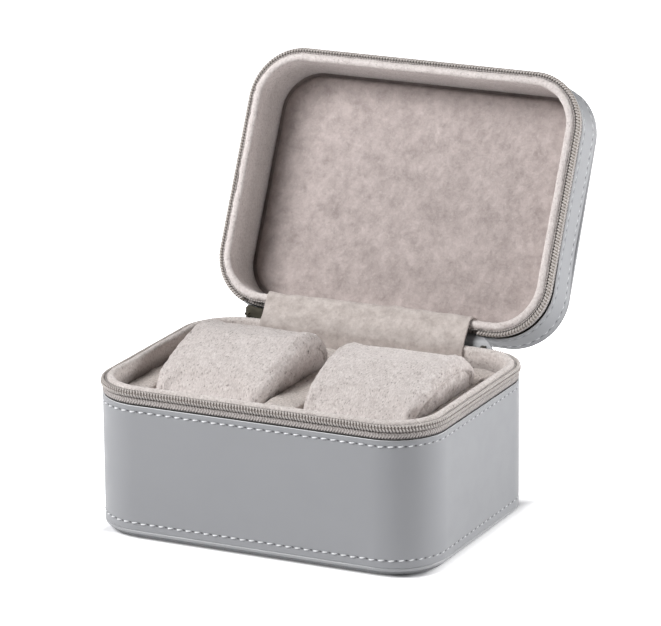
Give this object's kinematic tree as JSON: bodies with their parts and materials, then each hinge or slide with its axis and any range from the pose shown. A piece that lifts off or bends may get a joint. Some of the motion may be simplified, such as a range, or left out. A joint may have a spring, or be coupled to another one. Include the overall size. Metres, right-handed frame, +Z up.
{
  "type": "watch travel case",
  "caption": "Zip-around travel case with a hinged lid, suede lining and lift-out watch pillows in pockets.",
  "frame": {"origin": "middle of the case's underside, on the surface that it stands on", "axes": "+X to the case's right seen from the front, +Y towards the hinge at the back, +Z up; the lid is drawn open"},
  "size_m": [0.1718, 0.2069, 0.1909],
  "materials": {
    "board": "pressed board, hidden between leather and lining",
    "grey_leather": "smooth grey leather with a fine grain, satin",
    "bottom_leather": "smooth grey leather, satin",
    "piping_leather": "grey leather over cord, satin",
    "zip_tape": "woven herringbone tape, matt",
    "zip_nylon": "nylon coil, matt",
    "suede_lining": "napped suede, matt",
    "suede_insert": "napped suede over foam, matt",
    "suede_panel": "napped suede over foam, matt",
    "suede_strip": "napped suede, matt",
    "suede_pillow": "napped suede, matt",
    "pillow_foam": "soft foam, hidden in the pillow",
    "gunmetal": "dark plated metal, satin"
  },
  "bodies": {
    "tub": {"base_board": "board", "base_leather": "grey_leather", "base_bottom": "bottom_leather", "base_piping": "piping_leather", "base_zip_tape": "zip_tape", "base_zip_teeth": "zip_nylon", "base_lining": "suede_lining", "insert": "suede_insert", "hinge_leather": "grey_leather", "hinge_strip": "suede_strip", "zip_slider": "gunmetal", "zip_bail": "gunmetal", "zip_stop": "gunmetal"},
    "lid": {"lid_board": "board", "lid_leather": "grey_leather", "lid_top": "grey_leather", "lid_piping": "piping_leather", "lid_zip_tape": "zip_tape", "lid_zip_teeth": "zip_nylon", "lid_lining": "suede_lining", "lid_panel": "suede_panel"},
    "pull": {"zip_pull": "gunmetal"},
    "left_pillow": {"left_core": "pillow_foam", "left_wrap": "suede_pillow", "left_cap_outer": "suede_pillow", "left_cap_inner": "suede_pillow"},
    "right_pillow": {"right_core": "pillow_foam", "right_wrap": "suede_pillow", "right_cap_outer": "suede_pillow", "right_cap_inner": "suede_pillow"}
  },
  "joints": [
    {"name": "lid_hinge", "type": "hinge", "parent": "tub", "child": "lid", "pos_m": [0, 0.0645, 0.0752], "axis": [1, 0, 0], "range_deg": [0, 116], "deforming": ["hinge_leather", "hinge_strip"]},
    {"name": "pull_swing", "type": "hinge", "parent": "tub", "child": "pull", "pos_m": [-0.06225, 0.0676, 0.0727], "axis": [1, 0, 0], "range_deg": [-5, 60]},
    {"name": "left_pillow_lift", "type": "slide", "parent": "tub", "child": "left_pillow", "axis": [0, 0, 1], "range_m": [0, 0.086]},
    {"name": "right_pillow_lift", "type": "slide", "parent": "tub", "child": "right_pillow", "axis": [0, 0, 1], "range_m": [0, 0.086]}
  ]
}
